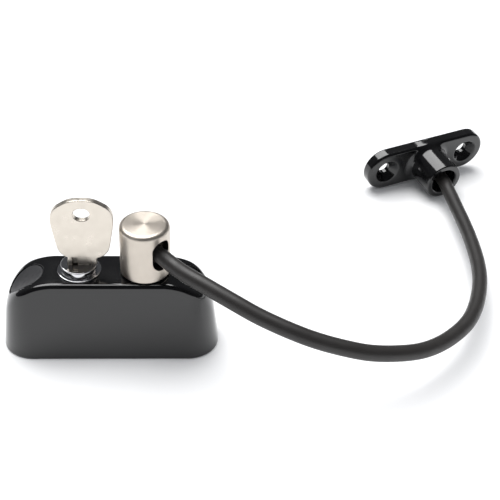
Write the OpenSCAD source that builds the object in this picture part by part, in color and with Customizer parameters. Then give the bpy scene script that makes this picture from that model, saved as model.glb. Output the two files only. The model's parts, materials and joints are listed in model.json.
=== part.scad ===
// Window restrictor cable: a key-released lock body, a slotted swivel barrel on a
// grooved spigot, a short sheathed steel cable and a screw-on frame bracket.
// Origin: centre of the lock body's fixing face.  +X along the body, +Z out of the window.

/* [Lock body] */
// Length of the lock body
body_length = 68; // [66:0.5:72]
// Depth of the lock body at its fixing face
body_depth = 22; // [21.5:0.5:24]
// Height of the lock body
body_height = 27; // [27:0.5:28]
// How far each side leans in between the fixing face and the top
body_draft = 2.9; // [2.5:0.1:3]
// Plan radius of the body's corners
corner_radius = 9.8; // [8:0.1:10]
// Radius of the long curves at the two ends of the top
end_radius = 17.5; // [16:0.5:18]
// Distance between the two fixing screws
screw_spacing = 51; // [50:0.5:52]
// Diameter of the holes for the fixing screws
screw_hole = 4.5; // [4:0.1:5]
// Diameter of the caps over the fixing screws
cap_diameter = 10.8; // [10:0.1:11]

/* [Lock cylinder and key] */
// Place of the lock cylinder along the body
cylinder_x = -9.1; // [-9.6:0.1:-9]
// Diameter of the trim ring around the lock cylinder
trim_diameter = 13.4; // [13:0.1:14]
// Diameter of the plug's raised head
plug_head = 11.1; // [10.5:0.1:12]
// Width of the key's bow
bow_width = 18.6; // [18:0.2:20]
// Sideways offset of the bow from the blade
bow_offset = 1.8; // [1:0.1:1.8]
// Height of the key's bow
bow_height = 21; // [20:0.5:23]
// Thickness of the key
key_thickness = 2; // [1.8:0.1:2.1]

/* [Swivel barrel] */
// Place of the swivel barrel along the body
barrel_x = 11.2; // [10.8:0.1:11.4]
// Diameter of the swivel barrel
barrel_diameter = 15.4; // [15:0.1:15.4]
// Height of the swivel barrel
barrel_height = 17.5; // [17:0.1:17.8]
// Width of the slot that the cable leaves through
slot_width = 6.3; // [6:0.1:6.6]
// Direction that the slot faces, in degrees from +X
slot_angle = -45; // [-50:1:-40]

/* [Cable and bracket] */
// Diameter of the cable over its plastic sheath
cable_diameter = 5; // [4.6:0.1:5.2]
// Diameter of the steel wire rope inside the sheath
rope_diameter = 3; // [2.5:0.1:3]
// Height of the bracket's plate
plate_height = 16.4; // [16:0.1:16.8]
// Thickness of the bracket's plate
plate_thickness = 4.4; // [4.2:0.1:5]
// Distance between the bracket's two screw holes
hole_spacing = 35.5; // [33:0.5:36]
// Diameter of the bracket's screw holes
bracket_hole = 4.2; // [4:0.1:4.5]
// Diameter of the bracket's boss at its mouth
boss_diameter = 14.8; // [14:0.1:15]
// Length of the boss in front of the plate
boss_length = 13; // [12.5:0.5:14]
// Turn of the bracket on the ground
bracket_yaw = 23; // [21:1:25]
// Lean of the bracket about its cable
bracket_roll = 2; // [1:0.5:3]
// Tip of the bracket, forward onto the rim of its boss
bracket_tip = 7; // [6.5:0.1:7.5]

/* [Hidden] */
$fn = 64;

// walls and clearances
wall = 2;
gap = 0.05;
cap_recess = 0.35;
cap_thickness = 1.6;
thread_hole = 1.05;
thread_radius = 1;
post_floor = 6;

// hollow middle of the lock body and the plate that closes it
cavity_half = 18.3;
cavity_top = 24.5;
plate_half = 22.3;
plate_depth = 18.2;
base_thickness = 1.5;
base_screw_x = 20.2;
base_screw_y = 5.8;

// lock cylinder, from its flange down to the cam
housing_radius = 5.8;
housing_bottom = 9.5;
flange_thickness = 0.5;
plug_radius = 4.9;
plug_top = body_height + 2.7;
shaft_radius = 2.2;
shaft_flat = 1.8;
cam_bottom = 7.2;
cam_thickness = 2;
cam_radius = 7.5;
clip_thickness = 1;
clip_groove_radius = 5.3;
keyway_width = 6.6;
keyway_bottom = 11.5;
wafer_count = 5;
wafer_pitch = 2.6;
wafer_first = 13.6;

// spiral in the cam: the bolt's pin starts at spiral_start and moves bolt_travel in 90 degrees
spiral_start = 3.6;
bolt_travel = 2.3;
pin_radius = 0.7;
spiral_half = 0.85;

// locking bolt and the spigot that it catches
bolt_bottom = 4.6;
bolt_thickness = 2.4;
bolt_width = 7;
spigot_radius = 4.5;
spigot_bottom = 2.2;
groove_radius = 2.1;
groove_bottom = 4.2;
groove_top = 7.4;
bush_radius = 5.75;
bush_bottom = 8;
guide_start = -13;
guide_length = 19;

// swivel barrel, the spigot's flange inside it and the split ring under the flange
barrel_bottom = body_height + 0.5;
barrel_top = body_height + barrel_height;
barrel_radius = barrel_diameter / 2;
barrel_bore = 5;
barrel_edge = 1.5;
flange_radius = 5.6;
flange_bottom = body_height + 1.5;
flange_top = body_height + 2.9;
ring_radius = 6;
ring_bottom = body_height + 0.7;
ring_thickness = 0.65;
ball_radius = 3.9;
ball_z = 37;
slot_bottom = 31.3;
slot_top = 41.7;

// free route of the cable, from the ball in the barrel to the mouth of the bracket's boss
cable_route = [
    [16.4, -5.2, 36.1], [22.5, -11.6, 35.2], [29.5, -16.8, 34.1], [37.5, -21.6, 32],
    [45, -25.2, 29.5], [53.5, -28.3, 27], [61.5, -30, 24.5], [70, -30.6, 22],
    [78, -29.9, 19.5], [86.5, -27.4, 17], [94.5, -23.8, 14.8], [101.5, -18.7, 13],
    [108, -12.4, 11.8], [113.2, -5.8, 11], [117, 1.3, 10.3], [120.2, 9.8, 9.7],
    [122.6, 18.8, 9.1], [124, 28, 8.5], [124.6, 37.5, 8], [124.7, 46.8, 7.6],
    [124.4, 55.8, 7.3], [123.9, 64, 7.1], [123.3, 72.5, 7.1]
];
ball_centre = [barrel_x, 0, ball_z];
mouth = [122.4, 81.7, 7.4];
boss_axis = [
    -sin(bracket_yaw) * cos(bracket_tip), cos(bracket_yaw) * cos(bracket_tip), sin(bracket_tip)
];
countersink_radius = 4.9;
countersink_depth = 2.6;
stop_front = 11.4;
stop_length = 5.6;
stop_radius = 4.4;
throat_radius = 2.9;
lip_radius = 5.2;
exit_line = (cable_route[0] - ball_centre) / norm(cable_route[0] - ball_centre);
sheath_points = concat(
    [ball_centre + exit_line * (ball_radius + gap)], cable_route,
    [for (d = [0.5, stop_front / 2, stop_front]) mouth + boss_axis * d]
);
rope_points = concat(
    [ball_centre - exit_line * 2, ball_centre + exit_line * 2], cable_route,
    [for (d = [0.5, stop_front / 2, stop_front + stop_length]) mouth + boss_axis * d]
);

// ---- helpers ----

// Rounded rectangle, as exact arcs
module rounded_plate(length, depth, radius, height) {
    linear_extrude(height) {
        square([length - 2 * radius, depth], center = true);
        square([length, depth - 2 * radius], center = true);
        for (x = [-1, 1], y = [-1, 1])
            translate([x * (length / 2 - radius), y * (depth / 2 - radius)]) circle(radius);
    }
}

// Tapered block with rounded corners, between two rounded rectangles
module tapered_block(length, depth, radius, bottom, top, inset) {
    hull() {
        translate([0, 0, bottom]) rounded_plate(length, depth, radius, 0.01, $fn = 48);
        translate([0, 0, top - 0.01])
            rounded_plate(length - 2 * inset, depth - 2 * inset, radius - inset, 0.01, $fn = 48);
    }
}

// Side view of the body: flat on top, with a long curve down to each end
module side_view(drop) {
    half = body_length / 2 - end_radius;
    rotate([90, 0, 0]) linear_extrude(body_depth + 2, center = true, $fn = 96) {
        translate([-body_length / 2 - 1, -1])
            square([body_length + 2, body_height - end_radius + 1 - drop]);
        translate([-half, 0]) square([2 * half, body_height - drop]);
        for (x = [-half, half]) translate([x, body_height - end_radius - drop]) circle(end_radius);
    }
}

// Outer shape of the lock body, lowered by drop
module body_shape(drop = 0) {
    intersection() {
        tapered_block(body_length, body_depth, corner_radius, 0, body_height, body_draft);
        side_view(drop);
    }
}

module rod(radius, bottom, top) {
    translate([0, 0, bottom]) cylinder(r = radius, h = top - bottom);
}

function unit(v) = v / norm(v);

// Direction of a route at point i
function tangent(route, i) =
    unit(route[min(i + 1, len(route) - 1)] - route[max(i - 1, 0)]);

// One ring of points around point i of a route
function ring(route, i, radius, sides) =
    let (t = tangent(route, i), u = unit(cross([0, 0, 1], t)), v = cross(t, u))
    [for (k = [0:sides - 1])
        route[i] + radius * (cos(360 * k / sides) * u + sin(360 * k / sides) * v)];

// Solid tube along a route
module tube(route, radius, sides) {
    last = len(route) - 1;
    points = [for (i = [0:last]) each ring(route, i, radius, sides)];
    walls = [for (i = [0:last - 1], k = [0:sides - 1]) let (n = (k + 1) % sides)
        [i * sides + n, i * sides + k, (i + 1) * sides + k, (i + 1) * sides + n]];
    caps = [[for (k = [0:sides - 1]) k], [for (k = [sides - 1:-1:0]) last * sides + k]];
    polyhedron(points, concat(walls, caps));
}

// Hollow tube along a route, as one solid with an inner and an outer wall
module hollow_tube(route, radius, bore, sides) {
    last = len(route) - 1;
    step = 2 * sides;
    points = [for (i = [0:last]) each concat(
        ring(route, i, radius, sides), ring(route, i, bore, sides))];
    outer = [for (i = [0:last - 1], k = [0:sides - 1]) let (n = (k + 1) % sides, a = i * step)
        [a + n, a + k, a + step + k, a + step + n]];
    inner = [for (i = [0:last - 1], k = [0:sides - 1])
        let (n = (k + 1) % sides, a = i * step + sides)
        [a + k, a + n, a + step + n, a + step + k]];
    first_end = [for (k = [0:sides - 1]) let (n = (k + 1) % sides)
        [k, n, sides + n, sides + k]];
    last_end = [for (k = [0:sides - 1]) let (n = (k + 1) % sides, a = last * step)
        [a + n, a + k, a + sides + k, a + sides + n]];
    polyhedron(points, concat(outer, inner, first_end, last_end));
}

// Puts a piece of the bracket in place: its boss points along -Y, its plate starts at y = 0
module at_bracket() {
    translate(mouth + boss_axis * boss_length)
        rotate([0, 0, bracket_yaw]) rotate([bracket_tip, 0, 0]) rotate([0, -bracket_roll, 0])
            children();
}

// A round solid along Y in the bracket's own frame
module along_y(from, to, r1, r2) {
    translate([0, from, 0]) rotate([-90, 0, 0]) cylinder(r1 = r1, r2 = r2, h = to - from);
}

// ---- lock body ----

module lock_body() {
    color("#151516") difference() {
        body_shape();
        tapered_block(2 * cavity_half, body_depth - 2 * wall - 1, 3, -1, cavity_top, 1.9);
        translate([0, 0, -1])
            rounded_plate(2 * plate_half, plate_depth, 3, base_thickness + 1);
        for (side = [-1, 1]) {
            translate([side * screw_spacing / 2, 0, 0]) {
                rod(screw_hole / 2, -1, post_floor + 1);
                rod(cap_diameter / 2, post_floor, body_height);
            }
            translate([side * base_screw_x, side * base_screw_y, 0]) rod(thread_hole, 0, 6.5);
        }
        translate([cylinder_x, 0, 0]) rod(housing_radius, cavity_top - 1, body_height + 1);
        translate([barrel_x, 0, 0]) rod(bush_radius, bush_bottom - gap, body_height + 1);
    }
}

module base_plate() {
    color("#8d8f92") difference() {
        union() {
            rounded_plate(2 * plate_half - 0.2, plate_depth - 0.2, 2.9, base_thickness);
            // rail and side guides of the locking bolt
            translate([guide_start, -5.1, 0]) cube([guide_length, 10.2, bolt_bottom - gap]);
            for (side = [-1, 1])
                translate([guide_start, side * 4.35 - 0.75, 0]) cube([guide_length, 1.5, 6.9]);
        }
        for (side = [-1, 1]) translate([side * base_screw_x, side * base_screw_y, 0]) {
            rod(thread_hole, -1, 3);
            translate([0, 0, -0.01]) cylinder(r1 = 1.9, r2 = thread_hole, h = 0.9);
        }
    }
}

module base_plate_screws() {
    color("#b4b6b8") for (side = [-1, 1])
        translate([side * base_screw_x, side * base_screw_y, 0]) difference() {
            union() {
                cylinder(r1 = 1.85, r2 = thread_radius, h = 0.88);
                rod(thread_radius, 0, 6);
            }
            for (turn = [0, 90]) rotate([0, 0, turn])
                translate([-1.1, -0.2, -1]) cube([2.2, 0.4, 1.4]);
        }
}

// Push-in cap that follows the curve of the body's end
module screw_cap(side) {
    color("#3a3a3c") intersection() {
        difference() {
            body_shape(cap_recess);
            body_shape(cap_recess + cap_thickness);
        }
        translate([side * screw_spacing / 2, 0, 0]) rod(cap_diameter / 2 - gap, 8, body_height);
    }
}

// ---- lock cylinder ----

module cylinder_housing() {
    color("#c9cbcd") translate([cylinder_x, 0, 0]) difference() {
        union() {
            rod(housing_radius - gap, housing_bottom, body_height);
            rod(trim_diameter / 2, body_height, body_height + flange_thickness);
        }
        rod(plug_radius + gap, housing_bottom - 1, body_height + 1);
        difference() {
            rod(housing_radius + 1, cavity_top - 0.1 - clip_thickness, cavity_top - 0.1);
            rod(clip_groove_radius, 0, body_height);
        }
    }
}

// U-shaped spring clip in the housing's groove, under the body's top wall
module cylinder_clip() {
    color("#9a9c9f") translate([cylinder_x, 0, cavity_top - 0.1 - clip_thickness]) difference() {
        translate([-6.6, -6, 0]) cube([13.2, 12, clip_thickness]);
        translate([0, 0, -1]) {
            cylinder(r = clip_groove_radius + gap, h = clip_thickness + 2);
            translate([0, -clip_groove_radius - gap, 0])
                cube([10, 2 * (clip_groove_radius + gap), clip_thickness + 2]);
        }
    }
}

module cylinder_plug() {
    color("#d8d9da") translate([cylinder_x, 0, 0]) difference() {
        union() {
            rod(plug_radius, housing_bottom, plug_top);
            rod(plug_head / 2, body_height + flange_thickness + gap, plug_top);
            rod(shaft_radius, cam_bottom + 0.6, housing_bottom);
        }
        translate([-keyway_width / 2, -1.1, keyway_bottom]) cube([keyway_width, 2.2, 30]);
        for (i = [0:wafer_count - 1]) translate([-4.25, -2.55, wafer_first + i * wafer_pitch])
            cube([8.5, 5.1, 1.1]);
        // flats that drive the cam, and the thread for the cam's screw
        for (side = [-1, 1]) translate([side * (shaft_flat + 1) - 1, -5, cam_bottom])
            cube([2, 10, 2.2]);
        rod(thread_hole, 0, 11);
    }
}

// Five wafers, each with a window for the key
module wafers() {
    color("#b08d4f") translate([cylinder_x, 0, 0]) for (i = [0:wafer_count - 1])
        translate([0, 0, wafer_first + i * wafer_pitch + 0.05]) difference() {
            translate([-4.2, -2.5, 0]) cube([8.4, 5, 1]);
            translate([-keyway_width / 2, -1.15, -1]) cube([keyway_width, 2.3, 3]);
        }
}

// Points of one edge of the cam's spiral; it runs a little past both ends of the turn
function spiral(offset) = [for (a = [-16:6:104])
    (spiral_start + bolt_travel * a / 90 + offset) * [cos(a), -sin(a)]];

module cam() {
    far = spiral(spiral_half);
    near = spiral(-spiral_half);
    color("#a4a6a9") translate([cylinder_x, 0, cam_bottom]) difference() {
        cylinder(r = cam_radius, h = cam_thickness);
        translate([0, 0, -1]) linear_extrude(cam_thickness + 2)
            polygon(concat(far, [for (i = [len(near) - 1:-1:0]) near[i]]));
        // hole with two flats for the plug's shaft
        intersection() {
            rod(shaft_radius + gap, 0.6, 3);
            translate([-shaft_flat - gap, -5, 0]) cube([2 * (shaft_flat + gap), 10, 4]);
        }
        rod(thread_hole, -1, 3);
        translate([0, 0, -0.01]) cylinder(r1 = 1.95, r2 = thread_hole, h = 0.5);
    }
}

module cam_screw() {
    color("#b4b6b8") translate([cylinder_x, 0, cam_bottom]) difference() {
        union() {
            cylinder(r1 = 1.85, r2 = thread_radius, h = 0.45);
            rod(thread_radius, 0, 3.4);
        }
        translate([-1.3, -0.2, -1]) cube([2.6, 0.4, 1.25]);
    }
}

module key() {
    bow_bottom = plug_top + 2.4;
    bow_top = bow_bottom + bow_height;
    half = bow_width / 2;
    color("#cfc9b8") translate([cylinder_x, 0, 0]) difference() {
        union() {
            rotate([90, 0, 0]) linear_extrude(key_thickness, center = true) {
                translate([bow_offset, 0]) hull() {
                    for (x = [-1, 1]) {
                        translate([x * 1.2, bow_top - 8]) circle(8);
                        translate([x * (half - 5.2), bow_top - 6.5]) circle(5.2, $fn = 32);
                        translate([x * (half - 3.6), bow_top - 8.4]) circle(3.6, $fn = 32);
                        translate([x * (half - 6.3), bow_bottom + 5]) circle(5, $fn = 32);
                    }
                }
                translate([bow_offset - 4.6, plug_top + gap]) square([8.4, 4]);
                // blade with its row of cuts on alternate edges
                difference() {
                    translate([-3.2, 12.2]) square([6.4, plug_top - 11]);
                    for (i = [0:wafer_count - 1])
                        translate([(i % 2 == 0 ? 1 : -1) * 3.6, wafer_first + 0.5 + i * wafer_pitch])
                            rotate(45) square(1.1, center = true);
                }
            }
        }
        translate([bow_offset, 5, bow_top - 5]) rotate([90, 0, 0]) {
            for (x = [-0.4, 0.4]) translate([x, 0, 0]) cylinder(r = 2.1, h = 10);
            translate([-0.4, -2.1, 0]) cube([0.8, 4.2, 10]);
        }
        // milled groove along the blade and neck
        translate([-1.8, -2, 11]) cube([1.5, 1.6, plug_top - 11 + 2.6]);
    }
}

// ---- bolt and spigot ----

module locking_bolt() {
    nose = barrel_x - spigot_radius - 0.3;
    tail = cylinder_x + spiral_start - 1.8;
    color("#b9bbbe") {
        translate([tail, -bolt_width / 2, bolt_bottom])
            cube([nose - tail, bolt_width, bolt_thickness]);
        translate([cylinder_x + spiral_start, 0, 0])
            rod(pin_radius, bolt_bottom, cam_bottom + cam_thickness - 0.3);
    }
}

module socket_bush() {
    color("#9fa1a4") translate([barrel_x, 0, 0]) difference() {
        rod(bush_radius - gap, bush_bottom, body_height);
        rod(spigot_radius + gap, bush_bottom - 1, body_height + 1);
    }
}

module spigot() {
    color("#c2c4c6") translate([barrel_x, 0, 0]) {
        translate([0, 0, spigot_bottom]) cylinder(r1 = spigot_radius - 0.6, r2 = spigot_radius, h = 0.6);
        rod(spigot_radius, spigot_bottom + 0.6, groove_bottom);
        rod(groove_radius, groove_bottom, groove_top);
        rod(spigot_radius, groove_top, flange_bottom);
        rod(flange_radius, flange_bottom, flange_top);
    }
}

// ---- barrel ----

module swivel_barrel() {
    middle = (slot_bottom + slot_top) / 2;
    reach = (slot_top - slot_bottom - slot_width) / 2;
    color("#d9d4cc") translate([barrel_x, 0, 0]) difference() {
        rotate_extrude($fn = 96) {
            square_height = barrel_top - barrel_bottom;
            translate([0, barrel_bottom]) square([barrel_radius - barrel_edge, square_height]);
            translate([0, barrel_bottom + 0.4])
                square([barrel_radius, square_height - 0.4 - barrel_edge]);
            translate([barrel_radius - barrel_edge, barrel_top - barrel_edge]) circle(barrel_edge, $fn = 32);
            translate([barrel_radius - barrel_edge, barrel_bottom])
                polygon([[0, 0], [barrel_edge - 0.4, 0], [barrel_edge, 0.4], [0, 0.4]]);
        }
        rod(flange_radius + gap, barrel_bottom - 1, flange_top + 0.15);
        rod(ring_radius, ring_bottom - gap, ring_bottom + ring_thickness + gap);
        rod(barrel_bore, body_height, barrel_top - 2);
        // upright slot with round ends
        rotate([0, 0, slot_angle]) translate([2, 0, middle]) rotate([0, 90, 0]) {
            for (z = [-reach, reach]) translate([z, 0, 0]) cylinder(d = slot_width, h = 10);
            translate([-reach, -slot_width / 2, 0]) cube([2 * reach, slot_width, 10]);
        }
    }
}

// Split ring that holds the spigot's flange in the barrel
module barrel_ring() {
    color("#8f9194") translate([barrel_x, 0, 0]) difference() {
        rod(ring_radius - gap, ring_bottom, ring_bottom + ring_thickness);
        rod(spigot_radius + 0.1, body_height, flange_bottom);
        rotate([0, 0, 100]) translate([0, -0.6, body_height]) cube([8, 1.2, 2]);
    }
}

// ---- cable ----

// Steel ball pressed onto the rope, caught behind the barrel's slot
module cable_ball_end() {
    color("#b9bbbe") translate(ball_centre) difference() {
        sphere(ball_radius);
        rotate([0, acos(exit_line[2]), atan2(exit_line[1], exit_line[0])])
            rod(rope_diameter / 2 + 0.1, -6, 6);
    }
}

module cable_sheath() {
    color("#1d1d1e") hollow_tube(sheath_points, cable_diameter / 2, rope_diameter / 2 + 0.1, 12);
}

module wire_rope() {
    color("#a9abad") tube(rope_points, rope_diameter / 2, 8);
}

// Steel stop pressed onto the rope, turning in the bracket's pocket
module cable_end_stop() {
    color("#b9bbbe") at_bracket() difference() {
        along_y(stop_front - boss_length, stop_front - boss_length + stop_length,
            stop_radius, stop_radius);
        along_y(stop_front - boss_length - 1, stop_front - boss_length + stop_length + 1,
            rope_diameter / 2 + 0.1, rope_diameter / 2 + 0.1);
    }
}

// ---- bracket ----

module bracket() {
    half = hole_spacing / 2;
    pocket = stop_front - boss_length - 0.1;
    color("#141415") at_bracket() difference() {
        union() {
            rotate([-90, 0, 0]) linear_extrude(plate_thickness) {
                square([hole_spacing, plate_height], center = true);
                for (x = [-half, half]) translate([x, 0]) circle(d = plate_height);
            }
            along_y(-boss_length, 1, boss_diameter / 2, boss_diameter / 2);
            along_y(-4.5, 0.5, boss_diameter / 2, plate_height / 2 - 0.05);
        }
        for (x = [-half, half]) translate([x, 0, 0]) {
            along_y(-1, plate_thickness + 1, bracket_hole / 2, bracket_hole / 2);
            along_y(-0.01, countersink_depth, countersink_radius, bracket_hole / 2);
        }
        along_y(pocket, plate_thickness + 1, stop_radius + gap, stop_radius + gap);
        along_y(-7, 0, throat_radius, throat_radius);
        along_y(-boss_length - 0.01, -6, lip_radius, throat_radius);
    }
}

lock_body();
base_plate();
base_plate_screws();
screw_cap(-1);  // screw_cap_left
screw_cap(1);  // screw_cap_right
cylinder_housing();
cylinder_clip();
cylinder_plug();
wafers();
cam();
cam_screw();
key();
locking_bolt();
socket_bush();
spigot();
swivel_barrel();
barrel_ring();
cable_ball_end();
cable_sheath();
wire_rope();
cable_end_stop();
bracket();
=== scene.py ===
"""Window restrictor cable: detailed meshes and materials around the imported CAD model."""
import json
import math

import bpy
import numpy as np
from mathutils import Matrix, Vector


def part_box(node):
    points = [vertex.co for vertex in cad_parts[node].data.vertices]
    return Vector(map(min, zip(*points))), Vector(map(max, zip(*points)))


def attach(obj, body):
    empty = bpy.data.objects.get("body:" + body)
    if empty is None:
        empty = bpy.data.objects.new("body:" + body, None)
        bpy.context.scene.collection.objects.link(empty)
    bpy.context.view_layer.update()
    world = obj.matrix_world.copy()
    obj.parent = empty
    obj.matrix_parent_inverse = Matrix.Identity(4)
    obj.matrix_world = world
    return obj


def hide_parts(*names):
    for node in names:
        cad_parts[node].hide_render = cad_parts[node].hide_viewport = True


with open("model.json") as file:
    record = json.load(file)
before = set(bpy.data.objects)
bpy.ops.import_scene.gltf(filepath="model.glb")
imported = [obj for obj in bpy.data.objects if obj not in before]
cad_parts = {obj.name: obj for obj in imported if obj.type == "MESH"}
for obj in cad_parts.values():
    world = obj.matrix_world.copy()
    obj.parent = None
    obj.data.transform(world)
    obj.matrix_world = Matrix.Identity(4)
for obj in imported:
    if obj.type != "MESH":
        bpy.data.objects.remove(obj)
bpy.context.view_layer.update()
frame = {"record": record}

MM = 0.001
SCENE = bpy.context.scene

# ---------------------------------------------------------------- sizes, from the frame (mm)


def box_mm(node):
    """Lowest and highest corner of a CAD node, in millimetres."""
    low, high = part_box(node)
    return np.array(low) / MM, np.array(high) / MM


def mount(name):
    """Place (mm) and axis of a mount."""
    row = next(m for m in frame["record"]["mounts"] if m["name"] == name)
    return np.array(row["pos_m"]) / MM, np.array(row["axis"], dtype=float)


_, body_high = box_mm("lock_body")
BODY_HALF_X, BODY_HALF_Y, BODY_TOP = body_high
DRAFT = 2.9                      # how far each side leans in by the top
PLAN_RADIUS = 9.8
END_RADIUS = 17.5
TOP_EDGE = 1.35                  # rounding between the top and the sides
FOOT_EDGE = 0.4
HOLLOW_HALF_X, HOLLOW_HALF_Y, HOLLOW_CORNER = 18.3, 8.2, 3
HOLLOW_TOP = 24.5
HOLLOW_LEAN = 1.9                # how far the hollow's sides lean in by its top
RECESS_HALF_X, RECESS_HALF_Y, RECESS_CORNER = 22.3, 9.1, 3
RECESS_DEPTH = 1.5               # the base plate lies in this recess
SCREW_X = 25.5
SCREW_HOLE_RADIUS = 2.25
CAP_RADIUS = 5.4
CAP_SEAT = 6                     # height of the floor under the caps
HOUSING_RADIUS = 5.8
HOUSING_SEAT = 20                # where the lock cylinder's bore begins
BUSH_RADIUS = 5.75
BUSH_SEAT = 7.95                 # where the socket bush's bore begins
FIRST_WAFER, WAFER_PITCH = 13.6, 2.6

ring_low, ring_high = box_mm("cylinder_housing")
CYLINDER_X = (ring_low[0] + ring_high[0]) / 2
plug_low, plug_high = box_mm("cylinder_plug")
key_low, key_high = box_mm("key")
barrel_low, barrel_high = box_mm("swivel_barrel")
BARREL_X = (barrel_low[0] + barrel_high[0]) / 2
BARREL_RADIUS = (barrel_high[0] - barrel_low[0]) / 2
SLOT_ANGLE = math.radians(-45)
SLOT_HALF = 3.15
SLOT_LOW, SLOT_HIGH = 31.3, 41.7
SLOT_START = 2                   # how far from the axis the slot begins

CABLE_RADIUS = 2.5
ROPE_RADIUS = 1.5
BALL = np.array([BARREL_X, 0, 37])
BALL_RADIUS = 3.9

# the cable's free route, the same as the CAD model's (mm)
ROUTE = [
    (16.4, -5.2, 36.1), (22.5, -11.6, 35.2), (29.5, -16.8, 34.1), (37.5, -21.6, 32),
    (45, -25.2, 29.5), (53.5, -28.3, 27), (61.5, -30, 24.5), (70, -30.6, 22),
    (78, -29.9, 19.5), (86.5, -27.4, 17), (94.5, -23.8, 14.8), (101.5, -18.7, 13),
    (108, -12.4, 11.8), (113.2, -5.8, 11), (117, 1.3, 10.3), (120.2, 9.8, 9.7),
    (122.6, 18.8, 9.1), (124, 28, 8.5), (124.6, 37.5, 8), (124.7, 46.8, 7.6),
    (124.4, 55.8, 7.3), (123.9, 64, 7.1), (123.3, 72.5, 7.1),
]

CABLE_OUT = np.array(ROUTE[0]) - BALL
CABLE_OUT = CABLE_OUT / np.linalg.norm(CABLE_OUT)
STOP_FRONT = 11.4                # how deep in the bracket's mouth the end stop begins

# the bracket's own frame: x along the plate, y into the window frame, origin on the plate's front
hole_left, _ = mount("bracket_screw_left")
hole_right, _ = mount("bracket_screw_right")
_, BRACKET_Y = mount("bracket_back")
BRACKET_X = (hole_right - hole_left) / np.linalg.norm(hole_right - hole_left)
BRACKET_Z = np.cross(BRACKET_X, BRACKET_Y)
PLATE_THICK = 4.4
PLATE_HALF_HEIGHT = 8.2
HOLE_HALF = np.linalg.norm(hole_right - hole_left) / 2
MOUNT_DEPTH = 3.5                # the screw mounts lie this far behind the plate's front
BRACKET_ORIGIN = (hole_left + hole_right) / 2 - MOUNT_DEPTH * BRACKET_Y
BOSS_LENGTH, BOSS_RADIUS = 13.0, 7.4
MOUTH = BRACKET_ORIGIN - BOSS_LENGTH * BRACKET_Y

# ---------------------------------------------------------------- camera and light


def add_camera():
    """Camera at the photograph's viewing angle: in front, looking down, slightly round."""
    elevation, azimuth, roll = math.radians(36.51), 0.0666, 0.0433
    data = bpy.data.cameras.new("camera")
    data.sensor_width = 36
    data.lens = 77.8536
    data.clip_start = 0.01
    camera = bpy.data.objects.new("camera", data)
    SCENE.collection.objects.link(camera)
    turn = (Matrix.Rotation(-azimuth, 4, "Z")
            @ Matrix.Rotation(math.pi / 2 - elevation, 4, "X")
            @ Matrix.Rotation(roll, 4, "Z"))
    camera.matrix_world = Matrix.Translation((0.02550, -0.26524, 0.23160)) @ turn
    SCENE.camera = camera


def smooth_path(points, per_span):
    """Catmull-Rom curve through the points."""
    pts = [Vector(p) for p in points]
    pts = [pts[0] * 2 - pts[1]] + pts + [pts[-1] * 2 - pts[-2]]
    path = []
    for i in range(1, len(pts) - 2):
        a, b, c, d = pts[i - 1:i + 3]
        for k in range(per_span):
            t = k / per_span
            path.append(0.5 * ((2 * b) + (c - a) * t + (2 * a - 5 * b + 4 * c - d) * t * t
                               + (3 * b - a - 3 * c + d) * t ** 3))
    path.append(pts[-2])
    return path


def add_curves(name, paths_mm, radius_mm, resolution):
    """One object of open curves with a round section, closed at their ends."""
    data = bpy.data.curves.new(name, "CURVE")
    data.dimensions = "3D"
    data.bevel_depth = radius_mm * MM
    data.bevel_resolution = resolution
    data.use_fill_caps = True
    for path_mm in paths_mm:
        spline = data.splines.new("POLY")
        spline.points.add(len(path_mm) - 1)
        for point, spot in zip(spline.points, path_mm):
            point.co = (*(spot * MM), 1)
        spline.use_smooth = True
    piece = bpy.data.objects.new(name, data)
    SCENE.collection.objects.link(piece)
    return piece


def cable_points(start, end):
    """Route from start mm past the ball's centre to end mm inside the bracket's mouth."""
    inside = [MOUTH + BRACKET_Y * d for d in (0.5, end / 2, end)]
    return [tuple(BALL + CABLE_OUT * start)] + ROUTE + [tuple(p) for p in inside]


add_camera()
sheath_path = smooth_path(cable_points(BALL_RADIUS + 0.05, STOP_FRONT), 8)
sheath = add_curves("cable_sheath_skin", [sheath_path], CABLE_RADIUS, 14)

# ---------------------------------------------------------------- solids from distance fields

SETTLING_STEPS = 5               # times the vertices are moved towards the surface


def meet(a, b, r):
    """Intersection of two fields, with its edge rounded to radius r."""
    a, b = a + r, b + r
    return np.minimum(np.maximum(a, b), 0) + np.hypot(np.maximum(a, 0), np.maximum(b, 0)) - r


def cut(a, b, r):
    """a without b, with the edge rounded."""
    return meet(a, -b, r)


def join(a, b, r):
    """Union of two fields, with a fillet of radius r between them."""
    return -meet(-a, -b, r)


def round_rectangle(x, y, half_x, half_y, r):
    """Field of a rectangle with corners of radius r, all the way up."""
    qx, qy = np.abs(x) - half_x + r, np.abs(y) - half_y + r
    return np.hypot(np.maximum(qx, 0), np.maximum(qy, 0)) + np.minimum(np.maximum(qx, qy), 0) - r


def slab(z, low, high):
    """Field of everything between two heights."""
    return np.maximum(low - z, z - high)


def gradient(field, p, h=0.01):
    """Slope of the field at each point, from differences over h either way."""
    g = np.empty_like(p)
    for axis in range(3):
        step = np.zeros(3)
        step[axis] = h
        g[:, axis] = (field(*(p + step).T) - field(*(p - step).T)) / (2 * h)
    return g


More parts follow.
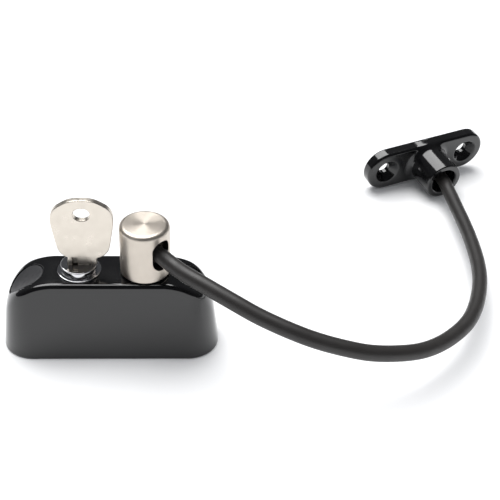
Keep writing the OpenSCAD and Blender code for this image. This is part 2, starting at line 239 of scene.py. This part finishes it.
def surface_net(field, low, high, cell):
    """Vertices and quads of the field's zero surface, with the vertices moved onto it."""
    low, high = np.array(low, float), np.array(high, float)
    counts = np.ceil((high - low) / cell).astype(int) + 1
    axes = [low[a] + cell * np.arange(counts[a]) for a in range(3)]
    value = field(*np.meshgrid(*axes, indexing="ij"))
    inside = value < 0
    cells = counts - 1

    def corner(array, c):
        return array[c[0]:c[0] + cells[0], c[1]:c[1] + cells[1], c[2]:c[2] + cells[2]]

    corners = [(i, j, k) for i in (0, 1) for j in (0, 1) for k in (0, 1)]
    total = sum(corner(inside, c).astype(int) for c in corners)
    active = (total > 0) & (total < 8)
    weight = np.zeros(cells)
    place = np.zeros((*cells, 3))
    for c in corners:
        for axis in range(3):
            if c[axis]:
                continue
            d = tuple(1 if a == axis else c[a] for a in range(3))
            va, vb = corner(value, c), corner(value, d)
            crosses = (va < 0) != (vb < 0)
            t = np.where(crosses, va / np.where(crosses, va - vb, 1), 0)
            for a in range(3):
                place[..., a] += np.where(crosses, c[a] + (t if a == axis else 0), 0)
            weight += crosses
    number = np.full(cells, -1)
    number[active] = np.arange(active.sum())
    where = np.argwhere(active)
    points = low + cell * (where + place[active] / weight[active][:, None])

    quads = []
    for axis in range(3):
        u, v = (axis + 1) % 3, (axis + 2) % 3
        first = [slice(None)] * 3
        second = [slice(None)] * 3
        first[axis], second[axis] = slice(0, -1), slice(1, None)
        a, b = inside[tuple(first)], inside[tuple(second)]
        for sign, edge in ((1, a & ~b), (-1, b & ~a)):
            at = np.argwhere(edge)
            at = at[(at[:, u] > 0) & (at[:, v] > 0)
                    & (at[:, u] < cells[u]) & (at[:, v] < cells[v])]
            loop = []
            for du, dv in ((0, 0), (1, 0), (1, 1), (0, 1))[::sign]:
                q = at.copy()
                q[:, u] += du - 1
                q[:, v] += dv - 1
                loop.append(number[q[:, 0], q[:, 1], q[:, 2]])
            quads.append(np.stack(loop, axis=1))
    for _ in range(SETTLING_STEPS):
        g = gradient(field, points)
        slope_squared = np.maximum((g ** 2).sum(axis=1), 0.05)
        step = (field(*points.T) / slope_squared)[:, None] * g
        points -= np.clip(step, -cell / 2, cell / 2)
    return points, np.concatenate(quads)


def solid(name, field, low, high, cell, origin=(0, 0, 0), axes=None):
    """Blender object of a distance field in millimetres, placed by origin and three axes."""
    points, quads = surface_net(field, low, high, cell)
    normals = gradient(field, points)
    normals /= np.maximum(np.linalg.norm(normals, axis=1), 1e-6)[:, None]
    turn = np.eye(3) if axes is None else np.array(axes).T
    points = (np.array(origin) + points @ turn.T) * MM
    mesh = bpy.data.meshes.new(name)
    mesh.from_pydata(points.tolist(), [], quads.tolist())
    mesh.update()
    mesh.shade_smooth()
    mesh.normals_split_custom_set_from_vertices((normals @ turn.T).tolist())
    piece = bpy.data.objects.new(name, mesh)
    SCENE.collection.objects.link(piece)
    return piece


# ---------------------------------------------------------------- lock body


def body_top(x, z):
    """Distance above the body's top: flat, with a long curve down to each end."""
    past = np.maximum(np.abs(x) - (BODY_HALF_X - END_RADIUS), 0)
    centre = BODY_TOP - END_RADIUS
    return np.hypot(past, np.maximum(z - centre, 0)) - END_RADIUS + np.minimum(z - centre, 0)


def body_side(x, y, z):
    """Distance outside the body's leaning sides."""
    inset = DRAFT * z / BODY_TOP
    return round_rectangle(x, y, BODY_HALF_X - inset, BODY_HALF_Y - inset, PLAN_RADIUS - inset)


def body_field(x, y, z):
    """The housing, with its pockets, screw holes, bores, hollow and base plate recess."""
    d = meet(body_side(x, y, z), body_top(x, z), TOP_EDGE)
    d = meet(d, -z, FOOT_EDGE)
    to_screw = np.hypot(np.abs(x) - SCREW_X, y)
    to_cylinder = np.hypot(x - CYLINDER_X, y)
    to_barrel = np.hypot(x - BARREL_X, y)
    d = cut(d, np.maximum(to_screw - CAP_RADIUS, CAP_SEAT - z), 0.2)
    d = cut(d, to_screw - SCREW_HOLE_RADIUS, 0.2)
    d = cut(d, np.maximum(to_cylinder - HOUSING_RADIUS, HOUSING_SEAT - z), 0.2)
    d = cut(d, np.maximum(to_barrel - BUSH_RADIUS, BUSH_SEAT - z), 0.2)
    lean = HOLLOW_LEAN * z / HOLLOW_TOP
    hollow = round_rectangle(x, y, HOLLOW_HALF_X - lean, HOLLOW_HALF_Y - lean,
                             HOLLOW_CORNER - lean / 2)
    d = cut(d, np.maximum(hollow, z - HOLLOW_TOP), 0.3)
    recess = round_rectangle(x, y, RECESS_HALF_X, RECESS_HALF_Y, RECESS_CORNER)
    return cut(d, np.maximum(recess, z - RECESS_DEPTH), 0.2)


def make_body():
    return solid("lock_body_shell", body_field, (-35, -11.6, -0.8), (35, 11.6, 28), 0.42)


def make_cap(side):
    """Push-in cap: it follows the end's curve, slightly dished, with a rounded rim."""
    dish_depth, dish_radius = 0.7, 4.7
    sunk, underside = 0.3, 2.6   # depths below the body's top
    clearance = 0.12

    def field(x, y, z):
        rho = np.hypot(x - side * SCREW_X, y)
        dish = dish_depth * np.clip(1 - (rho / dish_radius) ** 2, 0, 1)
        top = body_top(x, z) + sunk + dish
        cap = meet(rho - (CAP_RADIUS - clearance), top, 0.4)
        return cut(cap, body_top(x, z) + underside, 0.1)
    x = side * SCREW_X
    return solid(f"screw_cap_{'left' if side < 0 else 'right'}_disc", field,
                 (x - 5.8, -5.8, 17), (x + 5.8, 5.8, 28), 0.25)


# ---------------------------------------------------------------- lock cylinder and key


def make_housing():
    """Tube with a thin flange on the body's top, and a groove for the clip."""
    low, high = ring_low[2], ring_high[2]
    clearance, flange_thick, bore = 0.05, 0.5, 4.95
    groove_low, groove_high, groove_floor = 23.4, 24.4, 5.3

    def field(x, y, z):
        rho = np.hypot(x - CYLINDER_X, y)
        tube = np.maximum(rho - HOUSING_RADIUS + clearance, slab(z, low, high))
        rim = ring_high[0] - CYLINDER_X
        flange = meet(rho - rim, slab(z, high - flange_thick, high), 0.22)
        d = cut(np.minimum(tube, flange), rho - bore, 0.1)
        return cut(d, np.maximum(slab(z, groove_low, groove_high), groove_floor - rho), 0.05)
    return solid("cylinder_housing_ring", field, (CYLINDER_X - 7.2, -7.2, low - 0.6),
                 (CYLINDER_X + 7.2, 7.2, high + 0.6), 0.25)


def make_plug():
    """Head, stem and flatted shaft, with the keyway, the wafers' rooms and a screw hole."""
    low, high = plug_low[2], plug_high[2]
    head_low = BODY_TOP + 0.55
    stem_radius, stem_low = 4.9, 9.5
    shaft_radius, shaft_half, shaft_high = 2.2, 1.8, 10
    keyway_half_x, keyway_half_y, keyway_low = 3.3, 1.1, 11.5
    room_half_x, room_half_y, room_height = 4.25, 2.55, 1.1
    rooms_low, rooms_high = 13.5, 25.2
    screw_radius, screw_high = 1.05, 11

    def field(x, y, z):
        x = x - CYLINDER_X
        rho = np.hypot(x, y)
        head = meet(rho - (plug_high[0] - CYLINDER_X), slab(z, head_low, high), 0.3)
        stem = np.maximum(rho - stem_radius, slab(z, stem_low, high - 1))
        shaft = np.maximum(np.maximum(rho - shaft_radius, np.abs(x) - shaft_half),
                           slab(z, low, shaft_high))
        d = np.minimum(np.minimum(head, stem), shaft)
        keyway = np.maximum(np.maximum(np.abs(x) - keyway_half_x, np.abs(y) - keyway_half_y),
                            keyway_low - z)
        d = cut(d, keyway, 0.15)
        above_room = (z - FIRST_WAFER) % WAFER_PITCH
        rooms = np.maximum(np.maximum(np.abs(x) - room_half_x, np.abs(y) - room_half_y),
                           np.maximum(above_room - room_height, slab(z, rooms_low, rooms_high)))
        d = cut(d, rooms, 0.05)
        return cut(d, np.maximum(rho - screw_radius, z - screw_high), 0.05)
    return solid("cylinder_plug_head", field, (CYLINDER_X - 6, -6, low - 0.6),
                 (CYLINDER_X + 6, 6, high + 0.6), 0.22)


def make_key():
    """Flat key: rounded bow with a hole, a neck, and a blade with a milled groove and cuts."""
    bow_x = (key_high[0] + key_low[0]) / 2 - CYLINDER_X
    half = (key_high[0] - key_low[0]) / 2
    top = key_high[2]
    bow_low = plug_high[2] + 2.4
    neck_half, neck_offset = 4.2, 0.4
    blade_half, plate_half = 3.2, 1
    cuts, first_cut, cut_x, cut_size = 5, 14.1, 3.6, 0.78
    hole_radius, hole_half, hole_below_top = 2.1, 0.4, 5
    groove_x, groove_half, groove_floor = -1.05, 0.75, -0.4
    # x, z and radius of the discs that the bow is drawn tight round, on one half
    discs = [(1.2, top - 8, 8), (half - 5.2, top - 6.5, 5.2), (half - 3.6, top - 8.4, 3.6),
             (half - 6.3, bow_low + 5, 5)]

    def outline(x, z):
        """Distance outside the hull of the discs, from its tangents."""
        d = np.full_like(x, -1e3)
        for angle in np.linspace(-math.pi / 2, math.pi / 2, 90):
            c, s = math.cos(angle), math.sin(angle)
            reach = max(a * c + b * s + r for a, b, r in discs)
            d = np.maximum(d, x * c + z * s - reach)
        return d

    def field(x, y, z):
        x = x - CYLINDER_X
        bow = outline(np.abs(x - bow_x), z)
        neck = np.maximum(np.abs(x - bow_x + neck_offset) - neck_half,
                          slab(z, plug_high[2] + 0.05, bow_low + 2))
        blade = meet(np.abs(x) - blade_half, slab(z, key_low[2], bow_low), 0.8)
        for i in range(cuts):
            side = 1 if i % 2 == 0 else -1
            notch = (np.abs(x - side * cut_x) + np.abs(z - first_cut - WAFER_PITCH * i)
                     - cut_size)
            blade = np.maximum(blade, -notch * 0.707)
        flat = join(np.minimum(bow, blade), neck, 0.6)
        hole = np.hypot(np.maximum(np.abs(x - bow_x) - hole_half, 0),
                        z - top + hole_below_top) - hole_radius
        flat = cut(flat, hole, 0.01)
        d = meet(flat, np.abs(y) - plate_half, 0.22)
        groove = np.maximum(np.abs(x - groove_x) - groove_half, y - groove_floor)
        return cut(d, np.maximum(groove, z - bow_low - 0.2), 0.1)
    return solid("key_plate", field, (key_low[0] - 0.6, -1.6, key_low[2] - 0.6),
                 (key_high[0] + 0.6, 1.6, key_high[2] + 0.6), 0.2)


# ---------------------------------------------------------------- barrel


def make_barrel():
    """Turned cap, hollow from below for the spigot's flange and its ring, with a side slot."""
    low, high = barrel_low[2], barrel_high[2]
    cavity_radius, roof = 5, 2
    flange_room_radius, flange_room_height = 5.65, 3.05
    groove_radius, groove_low, groove_high = 6, 0.65, 1.4
    middle, reach = (SLOT_LOW + SLOT_HIGH) / 2, (SLOT_HIGH - SLOT_LOW) / 2 - SLOT_HALF
    cos_s, sin_s = math.cos(SLOT_ANGLE), math.sin(SLOT_ANGLE)

    def field(x, y, z):
        x = x - BARREL_X
        rho = np.hypot(x, y)
        d = meet(rho - BARREL_RADIUS, z - high, 1.5)
        d = meet(d, low - z, 0.35)
        d = cut(d, np.maximum(rho - cavity_radius, z - high + roof), 0.2)
        flange_room = z - BODY_TOP - flange_room_height
        d = cut(d, np.maximum(rho - flange_room_radius, flange_room), 0.1)
        groove = slab(z, BODY_TOP + groove_low, BODY_TOP + groove_high)
        d = cut(d, np.maximum(rho - groove_radius, groove), 0.05)
        out, across = x * cos_s + y * sin_s, y * cos_s - x * sin_s
        slot = np.hypot(across, np.maximum(np.abs(z - middle) - reach, 0)) - SLOT_HALF
        return cut(d, np.maximum(slot, SLOT_START - out), 0.2)
    return solid("swivel_barrel_shell", field, (BARREL_X - 8.1, -8.1, low - 0.6),
                 (BARREL_X + 8.1, 8.1, high + 0.6), 0.25)


# ---------------------------------------------------------------- bracket


def make_bracket():
    """Cast bracket: round-ended plate, flared boss with a belled mouth, countersunk holes."""
    cable_hole, widening, bell_start = 2.9, 2.3, 6
    pocket_radius, pocket_front = 4.45, -1.7
    screw_radius, sink_widening, sink_depth = 2.1, 2.8, 2.6

    def field(x, y, z):
        rho = np.hypot(x, z)
        ends = np.hypot(np.maximum(np.abs(x) - HOLE_HALF, 0), z)
        plate = meet(meet(ends - PLATE_HALF_HEIGHT, -y, 1.2), y - PLATE_THICK, 0.4)
        boss = meet(rho - BOSS_RADIUS, -BOSS_LENGTH - y, 0.6)
        boss = np.maximum(boss, y - 2)
        d = join(plate, boss, 2.6)
        # a cone's field is scaled so that its slope stays near one
        flare = cable_hole + widening * np.clip((-bell_start - y) / (BOSS_LENGTH - bell_start),
                                                0, 1.2)
        d = cut(d, np.maximum((rho - flare) * 0.95, y), 0.5)
        d = cut(d, np.maximum(rho - pocket_radius, pocket_front - y), 0.1)
        hole = np.hypot(np.abs(x) - HOLE_HALF, z)
        d = cut(d, hole - screw_radius, 0.05)
        sink = sink_widening * np.clip(1 - y / sink_depth, 0, 1.1)
        return cut(d, (hole - screw_radius - sink) * 0.7, 0.25)
    return solid("bracket_casting", field, (-26, -BOSS_LENGTH - 1, -8.8),
                 (26, PLATE_THICK + 1, 8.8), 0.3, BRACKET_ORIGIN,
                 (BRACKET_X, BRACKET_Y, BRACKET_Z))


# ---------------------------------------------------------------- wire rope


def make_rope():
    """Seven strands: six laid round a straight one, along the cable's route."""
    path = smooth_path(cable_points(-2, 17), 6)
    strand = ROPE_RADIUS / 3
    lay = 14.0                   # length of one turn of the strands
    around = [[] for _ in range(6)]
    along = 0
    for i, p in enumerate(path):
        before, after = path[max(i - 1, 0)], path[min(i + 1, len(path) - 1)]
        t = (after - before).normalized()
        u = Vector((0, 0, 1)).cross(t).normalized()
        v = t.cross(u)
        along += (p - before).length
        for k, points in enumerate(around):
            angle = 2 * math.pi * (along / lay + k / 6)
            points.append(p + 2 * strand * (math.cos(angle) * u + math.sin(angle) * v))
    return add_curves("wire_rope_strands", [*around, path], strand, 2)


# ---------------------------------------------------------------- materials


class Shader:
    """A Principled material with small helpers for its procedural nodes."""

    def __init__(self, name, color, metallic, roughness, **sockets):
        self.material = bpy.data.materials.new(name)
        self.material.use_nodes = True
        self.tree = self.material.node_tree
        self.main = self.tree.nodes["Principled BSDF"]
        self.set("Base Color", (*color, 1))
        self.set("Metallic", metallic)
        self.set("Roughness", roughness)
        for socket, value in sockets.items():
            self.set(socket.replace("_", " "), value)
        coords = self.tree.nodes.new("ShaderNodeTexCoord")
        self.object_space = coords.outputs["Object"]

    def set(self, socket, value):
        self.main.inputs[socket].default_value = value

    def link(self, out, into):
        self.tree.links.new(out, into)

    def node(self, kind, **inputs):
        made = self.tree.nodes.new(kind)
        for name, value in inputs.items():
            made.inputs[name.replace("_", " ")].default_value = value
        return made

    def noise(self, scale, detail=3, stretch=None):
        """Noise over the piece, drawn out along an axis where stretch is small."""
        made = self.node("ShaderNodeTexNoise", Scale=scale, Detail=detail)
        source = self.object_space
        if stretch:
            mapping = self.node("ShaderNodeMapping", Scale=stretch)
            self.link(source, mapping.inputs["Vector"])
            source = mapping.outputs["Vector"]
        self.link(source, made.inputs["Vector"])
        return made.outputs["Fac"]

    def ramp(self, value, low, high, socket):
        """A socket that varies from low to high with the middle of a noise's range."""
        made = self.node("ShaderNodeMapRange")
        made.inputs["From Min"].default_value = 0.3
        made.inputs["From Max"].default_value = 0.7
        made.inputs["To Min"].default_value = low
        made.inputs["To Max"].default_value = high
        self.link(value, made.inputs["Value"])
        self.link(made.outputs["Result"], self.main.inputs[socket])

    def tint(self, value, first, second):
        """A base colour that varies between two."""
        made = self.node("ShaderNodeMix")
        made.data_type = "RGBA"
        self.link(value, made.inputs["Factor"])
        made.inputs["A"].default_value = (*first, 1)
        made.inputs["B"].default_value = (*second, 1)
        colour = [o for o in made.outputs if o.type == "RGBA"][0]
        self.link(colour, self.main.inputs["Base Color"])

    def bump(self, value, strength, distance_mm):
        made = self.node("ShaderNodeBump", Strength=strength, Distance=distance_mm * MM)
        self.link(value, made.inputs["Height"])
        self.link(made.outputs["Normal"], self.main.inputs["Normal"])


def enamel():
    """Black gloss enamel over a casting: faint orange peel, slight haze."""
    s = Shader("black_enamel", (0.004, 0.004, 0.0045), 0, 0.12, Coat_Weight=0.35,
               Coat_Roughness=0.03)
    s.ramp(s.noise(90), 0.09, 0.17, "Roughness")
    s.bump(s.noise(900, 2), 0.12, 0.02)
    return s.material


def cap_plastic():
    s = Shader("cap_plastic", (0.022, 0.022, 0.024), 0, 0.5)
    s.ramp(s.noise(700, 4), 0.42, 0.6, "Roughness")
    s.bump(s.noise(4500, 2), 0.35, 0.02)
    return s.material


def chrome():
    s = Shader("chrome", (0.62, 0.62, 0.64), 1, 0.08)
    s.ramp(s.noise(300), 0.03, 0.08, "Roughness")
    s.bump(s.noise(2200, 2), 0.03, 0.01)
    return s.material


def stainless():
    """Turned stainless: fine rings round the axis, on the side and across the top."""
    s = Shader("stainless", (0.61, 0.555, 0.49), 1, 0.36, Anisotropic=0.55,
               Anisotropic_Rotation=0.25)
    tangent = s.node("ShaderNodeTangent")
    tangent.direction_type = "RADIAL"
    tangent.axis = "Z"
    s.link(tangent.outputs["Tangent"], s.main.inputs["Tangent"])
    split = s.node("ShaderNodeSeparateXYZ")
    shift = s.node("ShaderNodeMapping", Location=(-BARREL_X * MM, 0, 0))
    s.link(s.object_space, shift.inputs["Vector"])
    s.link(shift.outputs["Vector"], split.inputs["Vector"])
    radius = s.node("ShaderNodeVectorMath")
    radius.operation = "LENGTH"
    flat = s.node("ShaderNodeCombineXYZ")
    for axis in "XY":
        s.link(split.outputs[axis], flat.inputs[axis])
    s.link(flat.outputs["Vector"], radius.inputs[0])
    rings = s.node("ShaderNodeCombineXYZ")
    s.link(radius.outputs["Value"], rings.inputs["X"])
    s.link(split.outputs["Z"], rings.inputs["Y"])
    lines = s.node("ShaderNodeTexNoise", Scale=3500, Detail=2)
    s.link(rings.outputs["Vector"], lines.inputs["Vector"])
    s.bump(lines.outputs["Fac"], 0.035, 0.01)
    s.ramp(s.noise(500), 0.32, 0.4, "Roughness")
    return s.material


def key_nickel():
    s = Shader("key_nickel", (0.67, 0.62, 0.55), 1, 0.3)
    grain = s.noise(1500, 4, (1, 1, 0.08))
    s.bump(grain, 0.12, 0.015)
    s.ramp(s.noise(420), 0.26, 0.4, "Roughness")
    return s.material


def plain_steel(name, color, roughness):
    s = Shader(name, color, 1, roughness)
    s.ramp(s.noise(600), roughness - 0.06, roughness + 0.1, "Roughness")
    s.bump(s.noise(3000, 3, (1, 1, 0.2)), 0.12, 0.01)
    return s.material


def brass():
    s = Shader("brass", (0.70, 0.50, 0.24), 1, 0.3)
    s.tint(s.noise(500), (0.62, 0.43, 0.20), (0.76, 0.57, 0.30))
    s.bump(s.noise(3500), 0.1, 0.01)
    return s.material


def cable_pvc():
    """Extruded black plastic: soft sheen with a fine grain."""
    s = Shader("cable_pvc", (0.023, 0.021, 0.02), 0, 0.45)
    s.ramp(s.noise(260, 4), 0.39, 0.52, "Roughness")
    s.bump(s.noise(2600, 3), 0.2, 0.02)
    return s.material


def floor_white():
    s = Shader("floor_white", (0.93, 0.93, 0.93), 0, 0.6, Specular_IOR_Level=0.1)
    s.ramp(s.noise(8), 0.55, 0.65, "Roughness")
    return s.material


# ---------------------------------------------------------------- assembly


def paint(piece, material):
    """Puts one material on a piece or on a CAD node."""
    piece.data.materials.clear()
    piece.data.materials.append(material)


def place(piece, body, node, slot, material):
    """The piece stands for a CAD node, rides on its body and takes a finish."""
    paint(piece, material)
    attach(piece, body)
    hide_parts(node)


BLACK, CHROME, STAINLESS = enamel(), chrome(), stainless()
CAP, KEY_METAL, PVC, BRASS = cap_plastic(), key_nickel(), cable_pvc(), brass()
STEEL = plain_steel("steel", (0.72, 0.73, 0.74), 0.28)
ZINC = plain_steel("zinc_plate", (0.60, 0.61, 0.63), 0.36)
ROPE = plain_steel("wire_rope", (0.55, 0.56, 0.57), 0.32)

place(make_body(), "lock_body", "lock_body", "black_enamel", BLACK)
place(make_cap(-1), "lock_body", "screw_cap_left", "cap_plastic", CAP)
place(make_cap(1), "lock_body", "screw_cap_right", "cap_plastic", CAP)
place(make_housing(), "lock_body", "cylinder_housing", "chrome", CHROME)
place(make_plug(), "plug", "cylinder_plug", "chrome", CHROME)
place(make_key(), "key", "key", "key_nickel", KEY_METAL)
place(make_barrel(), "barrel", "swivel_barrel", "stainless", STAINLESS)
place(make_bracket(), "bracket", "bracket", "black_enamel", BLACK)
rope = make_rope()
place(rope, "cable", "wire_rope", "wire_rope", ROPE)
place(sheath, "cable", "cable_sheath", "cable_pvc", PVC)

plain_nodes = {
    "base_plate": ZINC, "base_plate_screws": ZINC, "cylinder_clip": STEEL, "wafers": BRASS,
    "cam": STEEL, "cam_screw": ZINC, "locking_bolt": STEEL, "socket_bush": STEEL,
    "spigot": STEEL, "barrel_ring": STEEL, "cable_ball_end": STEEL, "cable_end_stop": STEEL,
}
for node, material in plain_nodes.items():
    paint(bpy.data.objects[node], material)


def add_stage():
    """Pale floor, a hair below the body's fixing face."""
    mesh = bpy.data.meshes.new("floor")
    half = 4.0
    low = -0.00005
    corners = [(-half, -half, low), (half, -half, low), (half, half, low), (-half, half, low)]
    mesh.from_pydata(corners, [], [(0, 1, 2, 3)])
    floor = bpy.data.objects.new("floor", mesh)
    SCENE.collection.objects.link(floor)
    paint(floor, floor_white())


def add_lights():
    """Soft overhead light, a little from behind, in a dark room with pale fill."""
    data = bpy.data.lights.new("soft_top", "SUN")
    data.energy = 3.5
    data.angle = math.radians(53)
    top = bpy.data.objects.new("soft_top", data)
    top.rotation_euler = Vector((-0.2, 0.36, 1)).to_track_quat("Z", "Y").to_euler()
    SCENE.collection.objects.link(top)
    world = bpy.data.worlds.new("surround")
    world.use_nodes = True
    tree = world.node_tree
    split = tree.nodes.new("ShaderNodeSeparateXYZ")
    tree.links.new(tree.nodes.new("ShaderNodeTexCoord").outputs["Generated"], split.inputs[0])
    # shiny surfaces see a dark room, a little darker in front than behind
    room = tree.nodes.new("ShaderNodeMapRange")
    for name, value in (("From Min", -0.3), ("From Max", 0.4), ("To Min", 0.05), ("To Max", 0.09)):
        room.inputs[name].default_value = value
    tree.links.new(split.outputs["Y"], room.inputs["Value"])
    # diffuse rays and the view past the floor get a paler level
    rays = tree.nodes.new("ShaderNodeLightPath")
    level = room.outputs["Result"]
    for ray, strength in (("Is Diffuse Ray", 0.5), ("Is Camera Ray", 1.0)):
        mix = tree.nodes.new("ShaderNodeMix")
        tree.links.new(rays.outputs[ray], mix.inputs["Factor"])
        tree.links.new(level, mix.inputs["A"])
        mix.inputs["B"].default_value = strength
        level = mix.outputs["Result"]
    background = tree.nodes["Background"]
    background.inputs["Color"].default_value = (0.94, 0.96, 1, 1)
    tree.links.new(level, background.inputs["Strength"])
    SCENE.world = world
    SCENE.view_settings.view_transform = "Standard"


add_stage()
add_lights()
